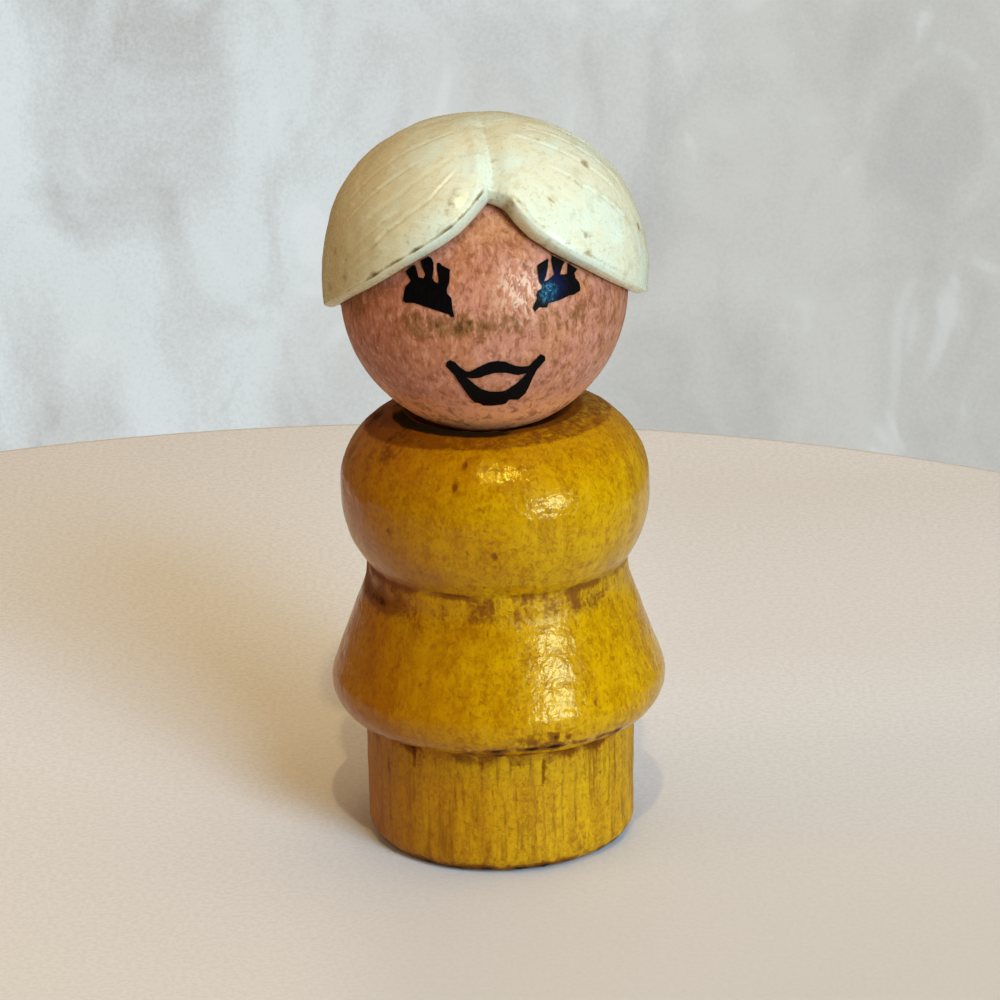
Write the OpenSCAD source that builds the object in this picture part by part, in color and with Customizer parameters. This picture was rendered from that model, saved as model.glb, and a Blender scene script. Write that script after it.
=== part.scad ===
// Turned wooden peg doll with a ball head that turns on a pin, a moulded hair cap and a printed face.
// Z points up, the doll faces -Y and stands on Z = 0. Left and right are as seen from the front.

/* [Turned body] */
// Radius of the seat peg, half of a 7/8 inch peg
peg_r = 11.1; // [9.5:0.1:12.5]
// Height of the peg's wall, from the floor up to the skirt
peg_h = 10.6; // [7:0.1:15]
// Rounding of the foot's edge
foot_round = 1.6; // [0.4:0.1:3]
// How far the skirt's hem stands out from the peg, before it is rounded
hem_out = 3.5; // [2:0.1:5]
// Rise from the peg's wall to the hem's corner
hem_rise = 1.65; // [0.8:0.05:3]
// Rounding of the hem
hem_round = 2.9; // [1:0.1:3.4]
// Height of the skirt's slope, from the hem's corner up
skirt_h = 10; // [8:0.1:13]
// Radius where the skirt meets the waist band
skirt_top_r = 10.9; // [9.8:0.1:11.5]
// Rounding where the slope runs into the waist band
flare_round = 4.6; // [1:0.1:8]
// Height of the waist band
band_h = 2; // [1.2:0.1:3]
// Radius at the bottom of the waist groove
waist_r = 10.7; // [9.5:0.1:11.4]
// Radius of the torso
torso_r = 12.65; // [12.2:0.05:14]
// Rise from the waist groove to the torso's wall
torso_rise = 2.5; // [1.5:0.1:4]
// Rounding under the torso
torso_round = 8.9; // [2:0.1:12]
// Height of the torso between its two corners
torso_h = 9.2; // [8:0.1:12]
// Rounding of the shoulders
shoulder_round = 6.5; // [2:0.1:7]
// Rise from the shoulder's corner to the flat top
shoulder_rise = 1.15; // [0.5:0.05:2]
// Radius of the flat top that the head sits over
top_r = 7.3; // [6:0.1:9]

/* [Head ball] */
// Radius of the wooden ball
ball_r = 11.7; // [11:0.1:13]
// How much of the ball's bottom is cut off flat
under_cut = 0.8; // [0.5:0.1:2]
// Depth of the dished seat for the ball in the body's top
seat_depth = 1.1; // [0.6:0.1:2]
// Gap between the ball and the seat's dished wall
seat_gap = 0.45; // [0.3:0.05:0.8]
// Running gap between the seat's floor and the ball's underside
neck_gap = 0.2; // [0.1:0.05:0.6]
// How far the pin and the head stand to the left of the body's axis
pin_shift = 0.6; // [0:0.1:1.5]

/* [Neck pin] */
// Radius of the pin's shank
pin_r = 1; // [0.7:0.05:1.6]
// Running gap between the shank and the bore in the ball
running_gap = 0.06; // [0.02:0.01:0.1]
// How much smaller the bore in the body is than the shank
press_grip = 0.02; // [0:0.01:0.05]
// How deep the pin is driven into the body, under the seat's floor
pin_set = 13; // [9:0.1:18]
// Length of the pin's point
point_h = 1.8; // [1:0.1:3]
// Spacing of the rings on the driven end
ring_pitch = 0.9; // [0.6:0.05:1.4]
// How far the rings stand out from the shank
ring_out = 0.06; // [0.02:0.01:0.12]
// Length of plain shank left in the body above the rings
plain_h = 1.5; // [0.5:0.1:4]
// Radius of the pin's head
pin_head_r = 2.2; // [1.8:0.1:3]
// Thickness of the pin's head
pin_head_h = 1; // [0.6:0.05:1.4]
// Depth of the pocket for the pin's head, under the ball's top
pocket_depth = 2.2; // [2:0.1:4]
// Gap round the pin's head in its pocket
pocket_gap = 0.3; // [0.15:0.05:0.6]
// Play under the pin's head
pin_play = 0.1; // [0.05:0.05:0.2]
// Free depth under the pin's point
bore_relief = 0.5; // [0.2:0.1:2]

/* [Hair cap] */
// Thickness of the cap round its sides
cap_wall = 1.5; // [1:0.05:2.5]
// Thickness of the cap at its crown
crown_wall = 2.2; // [1.6:0.05:3]
// Height of the cap's widest level above the ball's centre
cap_rise = 0.9; // [0.2:0.1:1.5]
// Squareness of the cap's section, where 2 is round
cap_power = 2.2; // [2:0.05:2.6]
// Gap between the ball and the inside of the cap
cap_gap = 0.15; // [0.1:0.01:0.3]
// Spread of each front lobe about its middle, seen from the ball's centre, in degrees
lobe_spread = 57.3; // [52:0.1:60]
// Rise of each lobe's middle, seen from the ball's centre, in degrees
lobe_lift = 53; // [48:0.5:58]
// Turn of each lobe's middle towards the back, in degrees
lobe_back = 11.4; // [5:0.1:18]
// Depth of the lobes' tips under the ball's centre
tip_drop = 0.6; // [0.3:0.1:1.5]
// Depth of the hem at the nape under the ball's centre
nape_drop = 6; // [3:0.1:6.8]
// How far in front of the ball's axis the side hem starts to fall
fall_front = 1; // [0:0.1:3]
// How far behind the ball's axis the side hem stops falling
fall_back = 14; // [9:0.1:15]
// Depth of the parting at the crown
parting_skim = 0.05; // [0.02:0.01:0.3]
// How far the parting's curve stands back, which deepens it at the front
parting_back = 0.5; // [0.2:0.05:0.9]
// Opening of the parting's V, in degrees
parting_angle = 80; // [50:1:100]
// Radius of the two studs that hold the cap
stud_r = 1.1; // [0.8:0.05:1.5]
// Distance of each stud from the ball's axis
stud_x = 5.6; // [4.6:0.1:7]
// How deep the studs go into the ball
stud_set = 3; // [1.5:0.1:4]
// How much smaller the holes are than the studs
stud_grip = 0.02; // [0:0.01:0.05]
// Free depth under each stud
stud_relief = 0.3; // [0.1:0.1:1]
// Turn of the hair towards the right, in degrees
hair_yaw = 3; // [-10:0.5:10]

/* [Printed face] */
// Thickness of the printed ink
ink_t = 0.08; // [0.05:0.01:0.09]
// Lift of the ink's back from the bare ball, filled by its primer
ink_lift = 0.01; // [0:0.01:0.02]
// Width of the left eye's print
left_eye_w = 3.9; // [2.5:0.1:4.5]
// Height of the left eye's print
left_eye_h = 4.45; // [3:0.05:4.6]
// Width of the right eye's print
right_eye_w = 4; // [2.5:0.1:4.5]
// Height of the right eye's print
right_eye_h = 3.95; // [3:0.05:4.4]
// Gap from the middle of the face to each eye
eye_in = 3.1; // [2.5:0.1:3.6]
// Height of the eyes' lowest points above the ball's centre
eye_z = 1.2; // [0.5:0.1:2]
// Width of the mouth's print
mouth_w = 7.9; // [5:0.1:9]
// Height of the mouth's print
mouth_h = 4.5; // [3:0.1:5]
// Depth of the mouth's top under the ball's centre
mouth_drop = 2.45; // [1.8:0.05:3.5]
// Turn of the face towards the right, in degrees
face_yaw = 4; // [-10:0.5:10]
// Lean of the face's top towards the left, in degrees
face_lean = 1.5; // [-5:0.5:5]

/* [Hidden] */
$fn = 96;

// Overrun of every cut past the face that it opens
cut = 1;
// Steps of each rounded corner, and of each half of the cap's section and hem
arc_steps = 12;
dome_steps = 40;
hem_steps = 12;

// Levels of the body's corners, from the floor up
hem_z = peg_h + hem_rise;
skirt_top_z = hem_z + skirt_h;
waist_z = skirt_top_z + band_h;
torso_z = waist_z + torso_rise;
shoulder_z = torso_z + torso_h;
body_h = shoulder_z + shoulder_rise;

// Levels of the head and the pin
seat_z = body_h - seat_depth;
flat_z = seat_z + neck_gap;
ball_drop = ball_r - under_cut;
ball_z = flat_z + ball_drop;
pocket_z = ball_r - pocket_depth;
pin_tip_z = seat_z - pin_set;
pin_head_z = ball_z + pocket_z + pin_play;
ring_count = floor((pin_set - point_h - plain_h) / ring_pitch);
root_share = 0.35;

// The cap's section, and heights on the ball and the cap, from the ball's centre
cap_r = ball_r + cap_gap + cap_wall;
cap_h = ball_r + cap_gap + crown_wall - cap_rise;
cap_low = cap_rise + nape_drop + cut;
cap_reach = cap_rise + cap_h + 2 * cut;
stud_top = sqrt(ball_r ^ 2 - stud_x ^ 2);

// Outlines of the prints, as shares of their width and height, from the lower left corner
left_eye_shares = [
    [0, 0.22], [0.05, 0.19], [0.21, 0.21], [0.46, 0.155], [0.76, 0.08], [0.89, 0.05], [0.93, 0], [1, 0.01],
    [0.97, 0.12], [0.96, 0.33], [0.88, 0.41], [0.88, 0.48], [0.94, 0.6], [0.97, 0.81], [0.82, 0.87],
    [0.78, 0.91], [0.72, 0.9], [0.71, 0.81], [0.73, 0.64], [0.71, 0.57], [0.64, 0.61], [0.61, 0.665],
    [0.65, 0.8], [0.655, 0.91], [0.62, 0.98], [0.56, 1], [0.4, 0.92], [0.42, 0.83], [0.47, 0.71],
    [0.435, 0.64], [0.34, 0.65], [0.315, 0.76], [0.29, 0.84], [0.23, 0.83], [0.09, 0.72], [0.18, 0.58],
    [0.06, 0.45], [0.035, 0.37]];
right_eye_shares = [
    [0.04, 0], [0.13, 0.07], [0.29, 0.04], [0.32, 0.12], [0.54, 0.135], [0.64, 0.155], [0.76, 0.18],
    [0.85, 0.17], [0.985, 0.21], [1, 0.27], [0.98, 0.37], [0.91, 0.48], [0.895, 0.58], [0.965, 0.63],
    [0.77, 0.79], [0.76, 0.7], [0.74, 0.59], [0.59, 0.62], [0.66, 0.77], [0.71, 0.83], [0.56, 0.93],
    [0.455, 1], [0.44, 0.91], [0.455, 0.77], [0.48, 0.65], [0.35, 0.57], [0.255, 0.55], [0.31, 0.65],
    [0.36, 0.82], [0.38, 0.95], [0.34, 0.95], [0.16, 0.88], [0.14, 0.855], [0.15, 0.69], [0.16, 0.56],
    [0.22, 0.48], [0.2, 0.42], [0.13, 0.4], [0.085, 0.31], [0.11, 0.26], [0.04, 0.16], [0, 0.08]];
mouth_shares = [
    [0, 0.88], [0.08, 0.7], [0.12, 0.56], [0.18, 0.37], [0.22, 0.23], [0.28, 0.09], [0.33, 0.07],
    [0.365, 0.01], [0.46, 0], [0.56, 0.01], [0.595, 0.035], [0.625, 0.115], [0.72, 0.09], [0.79, 0.21],
    [0.83, 0.365], [0.87, 0.55], [0.915, 0.705], [1, 0.86], [1, 0.935], [0.955, 1], [0.89, 0.895],
    [0.83, 0.8], [0.77, 0.8], [0.7, 0.83], [0.645, 0.88], [0.59, 0.94], [0.51, 0.965], [0.435, 0.95],
    [0.375, 0.905], [0.315, 0.85], [0.24, 0.77], [0.2, 0.775], [0.14, 0.86], [0.09, 0.96], [0.045, 1],
    [0.01, 0.955]];
lips_gap_shares = [
    [0.2, 0.66], [0.23, 0.6], [0.28, 0.5], [0.35, 0.39], [0.43, 0.33], [0.54, 0.31], [0.595, 0.33],
    [0.7, 0.455], [0.77, 0.58], [0.81, 0.655], [0.715, 0.64], [0.595, 0.715], [0.49, 0.73],
    [0.395, 0.69], [0.33, 0.64], [0.255, 0.63]];

// Corners of the body's half section: radius, level and rounding
body_corners = [
    [0, 0, 0],
    [peg_r, 0, foot_round],
    [peg_r, peg_h, 0],
    [peg_r + hem_out, hem_z, hem_round],
    [skirt_top_r, skirt_top_z, flare_round],
    [waist_r, waist_z, 0],
    [torso_r, torso_z, torso_round],
    [torso_r, shoulder_z, shoulder_round],
    [top_r, body_h, 0],
    [0, body_h, 0]];

function turned(v, a) = [v.x * cos(a) - v.y * sin(a), v.x * sin(a) + v.y * cos(a)];
function flat(p) = [p.x, p.y];
function side(p, i, step) = flat(p[(i + step + len(p)) % len(p)]) - flat(p[i]);
function half_angle(p, i) = acos(side(p, i, -1) * side(p, i, 1) / norm(side(p, i, -1)) / norm(side(p, i, 1))) / 2;
function wanted(p, i) = p[i].z > 0 ? p[i].z / tan(half_angle(p, i)) : 0;
function room(p, i, step) =
    let (j = (i + step + len(p)) % len(p)) min(1, norm(side(p, i, step)) / (wanted(p, i) + wanted(p, j)));

// Points of the section, with each rounding held back where its two walls are too short for it
function rounded(p) = [
    for (i = [0:len(p) - 1])
        if (p[i].z <= 0) flat(p[i])
        else let (
            back = side(p, i, -1) / norm(side(p, i, -1)),
            on = side(p, i, 1) / norm(side(p, i, 1)),
            half = half_angle(p, i),
            reach = wanted(p, i) * min(room(p, i, -1), room(p, i, 1)),
            middle = flat(p[i]) + (back + on) / norm(back + on) * reach / cos(half),
            way = cross(on, back) > 0 ? 1 : -1)
            for (k = [0:arc_steps])
                middle + turned(flat(p[i]) + back * reach - middle, way * (180 - 2 * half) * k / arc_steps)];

function scaled(shares, w, h) = [for (s = shares) [s.x * w, s.y * h]];

module at_ball() {
    translate([-pin_shift, 0, ball_z]) children();
}

// Shank-shaped cut along the head's axis, from level z up
module axis_cut(r, z, h) {
    translate([-pin_shift, 0, z]) cylinder(r = r, h = h);
}

// Dish in the body's top that the ball sits in, down to its flat floor
module seat() {
    intersection() {
        at_ball() sphere(r = ball_r + seat_gap);
        axis_cut(ball_r + seat_gap, seat_z, ball_r);
    }
}

module turned_body() {
    color("goldenrod")
    difference() {
        rotate_extrude() polygon(rounded(body_corners));
        seat();
        axis_cut(pin_r - press_grip, pin_tip_z - bore_relief, pin_set + bore_relief + cut);
    }
}

module head_ball() {
    color("#c9855f")
    difference() {
        at_ball() difference() {
            sphere(r = ball_r);
            translate([0, 0, -ball_drop - ball_r]) cylinder(r = ball_r, h = ball_r);
            for (way = [-1, 1])
                rotate([0, 0, hair_yaw]) translate([way * stud_x, 0, stud_top - stud_set - stud_relief])
                    cylinder(r = stud_r - stud_grip, h = stud_set + stud_relief + cut);
        }
        axis_cut(pin_r + running_gap, flat_z - cut, ball_drop + ball_r + 2 * cut);
        axis_cut(pin_head_r + pocket_gap, ball_z + pocket_z, ball_r - pocket_z + cut);
    }
}

// Half section of the pin, from its point up the rings and the plain shank to its head
module pin_section() {
    ring_z = pin_tip_z + point_h;
    rings = [for (i = [0:ring_count - 1]) each [
        [pin_r + ring_out, ring_z + i * ring_pitch],
        [pin_r - ring_out, ring_z + (i + root_share) * ring_pitch]]];
    polygon(concat([[0, pin_tip_z]], rings, [
        [pin_r, ring_z + ring_count * ring_pitch],
        [pin_r, pin_head_z],
        [pin_head_r, pin_head_z],
        [pin_head_r, pin_head_z + pin_head_h],
        [0, pin_head_z + pin_head_h]]));
}

module neck_pin() {
    color("silver")
    translate([-pin_shift, 0]) rotate_extrude() pin_section();
}

// Half section of the cap, from its lowest level over its widest to the crown
function cap_point(z) = [cap_r * (1 - (abs(z) / cap_h) ^ cap_power) ^ (1 / cap_power), z + cap_rise];
module cap_dome() {
    low_angle = asin(cap_low / cap_h);
    rise = [for (i = [0:dome_steps]) -low_angle + (90 + low_angle) * i / dome_steps];
    rotate_extrude()
        polygon(concat([[0, cap_rise - cap_low]], [for (a = rise) cap_point(cap_h * sin(a))]));
}

// One front lobe's space, a cone from the ball's centre
module lobe_space() {
    rotate([0, 90 - lobe_lift, lobe_back]) cylinder(r1 = 0, r2 = cap_reach * tan(lobe_spread), h = cap_reach);
}

// What lies in front of the two lobes, which meet under the parting
module front_opening() {
    difference() {
        translate([-cap_r - cut, -cap_r - cut, -cap_low])
            cube([2 * (cap_r + cut), cap_r + cut - fall_front, cap_low + cap_reach]);
        lobe_space();
        mirror([1, 0, 0]) lobe_space();
    }
}

// What lies under the side hem, which falls from the tips to the nape
module side_opening() {
    length = fall_front + fall_back;
    hem = [for (i = [0:hem_steps]) let (t = i / hem_steps)
        [t * length - fall_front, -tip_drop - (nape_drop - tip_drop) * t ^ 2 * (3 - 2 * t)]];
    rotate([90, 0, 90]) linear_extrude(height = 2 * (cap_r + cut), center = true)
        polygon(concat([[-cap_r - cut, -tip_drop]], hem,
            [[cap_r + cut, -nape_drop], [cap_r + cut, -cap_low - cut], [-cap_r - cut, -cap_low - cut]]));
}

// Groove that follows a circle over the crown, deepest at the front
module parting() {
    tip_r = cap_h - parting_skim;
    reach = crown_wall + cut;
    half = reach * tan(parting_angle / 2);
    translate([0, parting_back, cap_rise]) rotate([0, 90, 0]) rotate_extrude()
        translate([tip_r, 0]) polygon([[0, 0], [reach, -half], [reach, half]]);
}

module hair_cap() {
    color("#e8dfba")
    at_ball() rotate([0, 0, hair_yaw]) {
        difference() {
            cap_dome();
            sphere(r = ball_r + cap_gap);
            front_opening();
            side_opening();
            parting();
        }
        for (way = [-1, 1])
            translate([way * stud_x, 0, stud_top - stud_set]) cylinder(r = stud_r, h = stud_set + cut);
    }
}

// Ink on the ball, where an outline that faces the front meets its surface
module print_layer(x, z) {
    at_ball() rotate([0, -face_lean, face_yaw]) intersection() {
        difference() {
            sphere(r = ball_r + ink_t);
            sphere(r = ball_r + ink_lift);
        }
        translate([x, 0, z]) rotate([90, 0, 0]) linear_extrude(height = ball_r + cut) children();
    }
}

module left_eye_print() {
    color("black")
    print_layer(-eye_in - left_eye_w, eye_z) polygon(scaled(left_eye_shares, left_eye_w, left_eye_h));
}

module right_eye_print() {
    color("black")
    print_layer(eye_in, eye_z) polygon(scaled(right_eye_shares, right_eye_w, right_eye_h));
}

module mouth_print() {
    color("black")
    print_layer(-mouth_w / 2, -mouth_drop - mouth_h) difference() {
        polygon(scaled(mouth_shares, mouth_w, mouth_h));
        polygon(scaled(lips_gap_shares, mouth_w, mouth_h));
    }
}

turned_body();
head_ball();
neck_pin();
hair_cap();
left_eye_print();
right_eye_print();
mouth_print();
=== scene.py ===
import math

import bpy
import numpy as np
from mathutils import Matrix, Vector


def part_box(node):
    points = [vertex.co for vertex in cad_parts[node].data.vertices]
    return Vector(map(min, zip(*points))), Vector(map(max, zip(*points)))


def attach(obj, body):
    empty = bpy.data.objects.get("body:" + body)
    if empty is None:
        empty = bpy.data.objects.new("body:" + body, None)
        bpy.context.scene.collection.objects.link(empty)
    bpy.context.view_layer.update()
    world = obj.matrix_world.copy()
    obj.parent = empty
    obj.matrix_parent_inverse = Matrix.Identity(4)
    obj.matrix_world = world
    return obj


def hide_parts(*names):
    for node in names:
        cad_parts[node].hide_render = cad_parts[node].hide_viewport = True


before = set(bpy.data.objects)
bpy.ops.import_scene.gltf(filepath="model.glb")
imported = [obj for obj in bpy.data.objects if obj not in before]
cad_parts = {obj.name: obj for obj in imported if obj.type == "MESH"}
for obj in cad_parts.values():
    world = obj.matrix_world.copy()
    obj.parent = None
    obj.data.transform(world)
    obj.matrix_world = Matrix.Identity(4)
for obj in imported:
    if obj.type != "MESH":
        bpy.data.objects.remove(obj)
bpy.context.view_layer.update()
mm = 0.001  # one millimetre in metres
ballLow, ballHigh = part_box("head_ball")
ballFlat = 10.9  # how far the ball's flat underside lies below its middle
ballR = round((ballHigh[0] - ballLow[0]) / 2 / mm, 2)
ballCentre = (round((ballLow[0] + ballHigh[0]) / 2 / mm, 2), 0.0, round(ballLow[2] / mm + ballFlat, 2))
print("frame loaded,", len(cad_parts), "CAD nodes")


# small helpers for meshes; all lengths are in mm until they reach a mesh

def tone(code):  # a screen colour such as "c99a10", made linear
    parts = [int(code[i:i + 2], 16) / 255 for i in (0, 2, 4)]
    return tuple(c / 12.92 if c <= 0.04045 else ((c + 0.055) / 1.055) ** 2.4 for c in parts) + (1.0,)


def palette(codes):  # a piece's named colours, made linear
    return {name: tone(code) for name, code in codes.items()}


def waves(points, size, seed, count=28):  # smooth unevenness of about 1 either way, the same each run
    rng = np.random.default_rng(seed)
    ways = rng.normal(size=(count, 3))
    ways *= (2 * math.pi / size * rng.uniform(0.5, 1.5, count) / np.linalg.norm(ways, axis=1))[:, None]
    shift = rng.uniform(0, 2 * math.pi, count)
    flat = points.reshape(-1, 3)
    return (np.sin(flat @ ways.T + shift).sum(axis=1) / math.sqrt(count / 2)).reshape(points.shape[:-1])


def bell(x, middle, width):
    return np.exp(-((x - middle) / width) ** 2)


def ease(x, low, high):
    t = np.clip((x - low) / (high - low), 0, 1)
    return t * t * (3 - 2 * t)


def ringMesh(name, rings, closed=False, soil=None):  # rings: rows of points round an axis
    rows, cols = rings.shape[:2]
    points = rings.reshape(-1, 3)
    row = np.arange(rows if closed else rows - 1)[:, None] * cols
    up = np.roll(np.arange(rows), -1)[: len(row), None] * cols
    col = np.arange(cols)[None, :]
    on = (col + 1) % cols
    faces = np.stack([row + col, row + on, up + on, up + col], -1).reshape(-1, 4).tolist()
    if not closed:
        first, last = len(points), len(points) + 1
        points = np.vstack([points, rings[0].mean(axis=0), rings[-1].mean(axis=0)])
        faces += [(first, (j + 1) % cols, j) for j in range(cols)]
        top = (rows - 1) * cols
        faces += [(last, top + j, top + (j + 1) % cols) for j in range(cols)]
    mesh = bpy.data.meshes.new(name)
    mesh.from_pydata((points * mm).tolist(), [], faces)
    outward = sum(np.dot(points[f[0]], np.cross(points[f[1]], points[f[2]])) for f in faces[::7])
    if outward < 0:  # every seventh face is enough to tell inside from outside
        mesh.flip_normals()
    mesh.shade_smooth()
    if soil is not None:
        values = soil.reshape(-1)
        values = np.append(values, [values[0]] * (len(points) - len(values)))
        mesh.attributes.new("soil", "FLOAT", "POINT").data.foreach_set("value", values.astype(np.float32))
    piece = bpy.data.objects.new(name, mesh)
    bpy.context.scene.collection.objects.link(piece)
    return piece


def cornerHalf(flat, i):  # half the angle between the two sides that meet at a corner
    back, on = flat[i - 1] - flat[i], flat[i + 1] - flat[i]
    return math.acos(np.clip(back @ on / np.linalg.norm(back) / np.linalg.norm(on), -1, 1)) / 2


def roundedOutline(corners, steps=14):  # corners: radius, level and rounding
    flat = [np.array(corner[:2], float) for corner in corners]
    inside = range(1, len(corners) - 1)
    want = [0.0] + [corners[i][2] / math.tan(cornerHalf(flat, i)) for i in inside] + [0.0]
    out = []
    for i in range(len(corners)):
        if want[i] <= 0:
            out.append(flat[i])
            continue
        half, reach, ways = cornerHalf(flat, i), want[i], []
        for j in (i - 1, i + 1):
            length = np.linalg.norm(flat[j] - flat[i])
            ways.append((flat[j] - flat[i]) / length)
            reach = min(reach, want[i] * length / (want[i] + want[j]))
        back, on = ways
        middle = flat[i] + (back + on) / np.linalg.norm(back + on) * reach / math.cos(half)
        sense = 1 if on[0] * back[1] - on[1] * back[0] > 0 else -1
        arm = flat[i] + back * reach - middle
        for k in range(steps + 1):
            a = sense * (math.pi - 2 * half) * k / steps
            c, s = math.cos(a), math.sin(a)
            out.append(middle + np.array([arm[0] * c - arm[1] * s, arm[0] * s + arm[1] * c]))
    return np.array(out)


def finer(outline, step):  # extra points on the long stretches
    out = [outline[0]]
    for a, b in zip(outline[:-1], outline[1:]):
        count = max(1, math.ceil(np.linalg.norm(b - a) / step))
        out += [a + (b - a) * k / count for k in range(1, count + 1)]
    return np.array(out)


def spun(outline, cols, centre=(0, 0, 0)):  # the outline turned round the Z axis, and its normals
    angle = np.arange(cols) * 2 * math.pi / cols
    along = np.gradient(outline, axis=0)
    along /= np.maximum(np.linalg.norm(along, axis=1), 1e-9)[:, None]
    r, z = outline[:, :1], outline[:, 1:]
    places = np.stack([r * np.cos(angle), r * np.sin(angle), z + 0 * angle], -1) + np.array(centre)
    nr, nz = along[:, 1:], -along[:, :1]
    normals = np.stack([nr * np.cos(angle), nr * np.sin(angle), nz + 0 * angle], -1)
    return places, normals


def finish(piece, node, rider, material):  # hand a dressed piece over to the frame
    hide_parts(node)
    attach(piece, rider)
    giveFinish(piece, material)


def giveFinish(piece, material):
    piece.data.materials.clear()
    piece.data.materials.append(material)


# shader maths as plain expressions

class Wire:  # one output socket
    def __init__(self, graph, out):
        self.graph, self.out = graph, out

    def maths(self, kind, *values):
        return self.graph.node("ShaderNodeMath", {"operation": kind}, dict(enumerate(values)))

    def __add__(self, other):
        return self.maths("ADD", self, other)

    def __sub__(self, other):
        return self.maths("SUBTRACT", self, other)

    def __rsub__(self, other):
        return self.maths("SUBTRACT", other, self)

    def __mul__(self, other):
        return self.maths("MULTIPLY", self, other)

    __radd__, __rmul__ = __add__, __mul__


class Graph:  # a node tree and the few recipes that the finishes share
    def __init__(self, tree):
        self.tree = tree

    def node(self, kind, settings=None, inputs=None, out=0):
        made = self.tree.nodes.new(kind)
        for key, value in (settings or {}).items():
            setattr(made, key, value)
        for key, value in (inputs or {}).items():
            if isinstance(value, Wire):
                self.tree.links.new(value.out, made.inputs[key])
            else:
                made.inputs[key].default_value = value
        return Wire(self, made.outputs[out])

    def place(self):  # the object's own coordinates, in mm
        local = self.node("ShaderNodeTexCoord", out=3)
        return self.node("ShaderNodeVectorMath", {"operation": "SCALE"}, {0: local, 3: 1 / mm})

    def stretch(self, vector, by):
        return self.node("ShaderNodeVectorMath", {"operation": "MULTIPLY"}, {0: vector, 1: by})

    def part(self, vector, i):
        return self.node("ShaderNodeSeparateXYZ", None, {0: vector}, out=i)

    def grain(self, vector, scale=1.0, detail=3.0, rough=0.5, distort=0.0):
        return self.node("ShaderNodeTexNoise", None, {
            "Vector": vector, "Scale": scale, "Detail": detail, "Roughness": rough, "Distortion": distort})

    def step(self, value, low, high):
        return self.node("ShaderNodeMapRange", {"interpolation_type": "SMOOTHSTEP"},
                         {0: value, 1: low, 2: high})

    def spot(self, vector, centre, reach, soft):  # 1 within reach of a point
        away = self.node("ShaderNodeVectorMath", {"operation": "DISTANCE"}, {0: vector, 1: centre}, out=1)
        return self.step(away, reach + soft, reach - soft)

    def mix(self, mask, a, b):
        return self.node("ShaderNodeMix", {"data_type": "RGBA"}, {0: mask, 6: a, 7: b}, out=2)

    def painted(self, name):  # a value stored on the mesh's points
        return self.node("ShaderNodeAttribute", {"attribute_name": name}, out=2)

    def bump(self, height, depth):  # depth in mm
        return self.node("ShaderNodeBump", None, {"Height": height, "Distance": depth * mm, "Strength": 1.0})


def newFinish(name, fixed):  # a material, its graph, and a way to join wires to its shader
    material = bpy.data.materials.new(name)
    material.use_nodes = True
    skin = material.node_tree.nodes["Principled BSDF"]
    for key, value in fixed.items():
        skin.inputs[key].default_value = value
    graph = Graph(material.node_tree)

    def join(color, rough, normal=None):
        for key, wire in (("Base Color", color), ("Roughness", rough), ("Normal", normal)):
            if wire is not None:
                graph.tree.links.new(wire.out, skin.inputs[key])
        return material
    return graph, join


# turned body; azimuths are in degrees from the front, with 90 on the right
# corners: radius, level and rounding of the outline, from the foot up
# stains: azimuth, level, half width, half height, strength
# pits: azimuth, level, half width, strength
# scores: azimuth, level, half width, half length, strength

body = {
    "corners": [(0, 0, 0), (11.1, 0, 1.6), (11.1, 10.6, 0.15), (14.6, 12.25, 2.9), (10.9, 22.25, 4.6),
                (10.7, 24.25, 0.3), (12.65, 26.75, 8.9), (12.65, 35.95, 6.5), (7.3, 37.1, 0.6), (0, 37.1, 0)],
    "seatR": 12.15, "seatFloor": 36.0, "seatMargin": 2, "step": 0.2, "cols": 400, "axisGap": 0.01,
    "wallR": 6, "footR": 10.9, "pegR": 10.5, "pegTop": 11, "topFrom": 34, "uneven": 0.03,
    "stains": [(-62, 22.1, 3.6, 0.8, 0.85), (-80, 22.9, 1.6, 1.0, 0.5), (-34, 21.3, 2.4, 0.7, 0.2),
               (36, 23.0, 0.4, 1.1, 0.35)],
    "pits": [(-13, 35.48, 0.2, 0.9), (-16, 33.91, 0.22, 1.0), (-1, 28.44, 0.24, 1.0), (30, 15.39, 0.16, 0.6),
             (35, 15.13, 0.2, 0.8), (-43, 29.65, 0.25, 0.7), (-2, 29.6, 0.2, 0.5), (12, 27.6, 0.16, 0.5),
             (-30, 17.0, 0.2, 0.5), (-20, 31.2, 0.16, 0.5)],
    "scores": [(-56, 8.2, 0.16, 1.0, 0.6), (-40, 9.5, 0.2, 0.9, 0.8), (18, 8.8, 0.2, 1.2, 1.0),
               (-8, 8.6, 0.13, 1.6, 0.45), (-27, 7.6, 0.12, 1.9, 0.45), (31, 8.4, 0.13, 1.3, 0.45),
               (45, 9.1, 0.12, 1.1, 0.4), (-68, 7.9, 0.15, 1.7, 0.5)],
    "hemEdge": 12.0, "waist": 24.2, "pitDepth": 0.07, "scoreDepth": 0.05, "chipDepth": 0.1,
    # of these colours, one is painted shade on the left side, and the two darkest colour dirt and painted
    # shade alike
    "colors": {"gold": "c29100", "band": "b07e00", "blotch": "c89c00", "light": "d2a200", "aged": "8a3700",
               "shoulder": "a85400", "mottle": "7c4200", "fibre": "7a4600", "pore": "5c2c00",
               "soil": "6a2e00", "grime": "100500"},
    "bright": (-0.4, -10.9, 34.7),  # where the lacquer is smoothest
}


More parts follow.
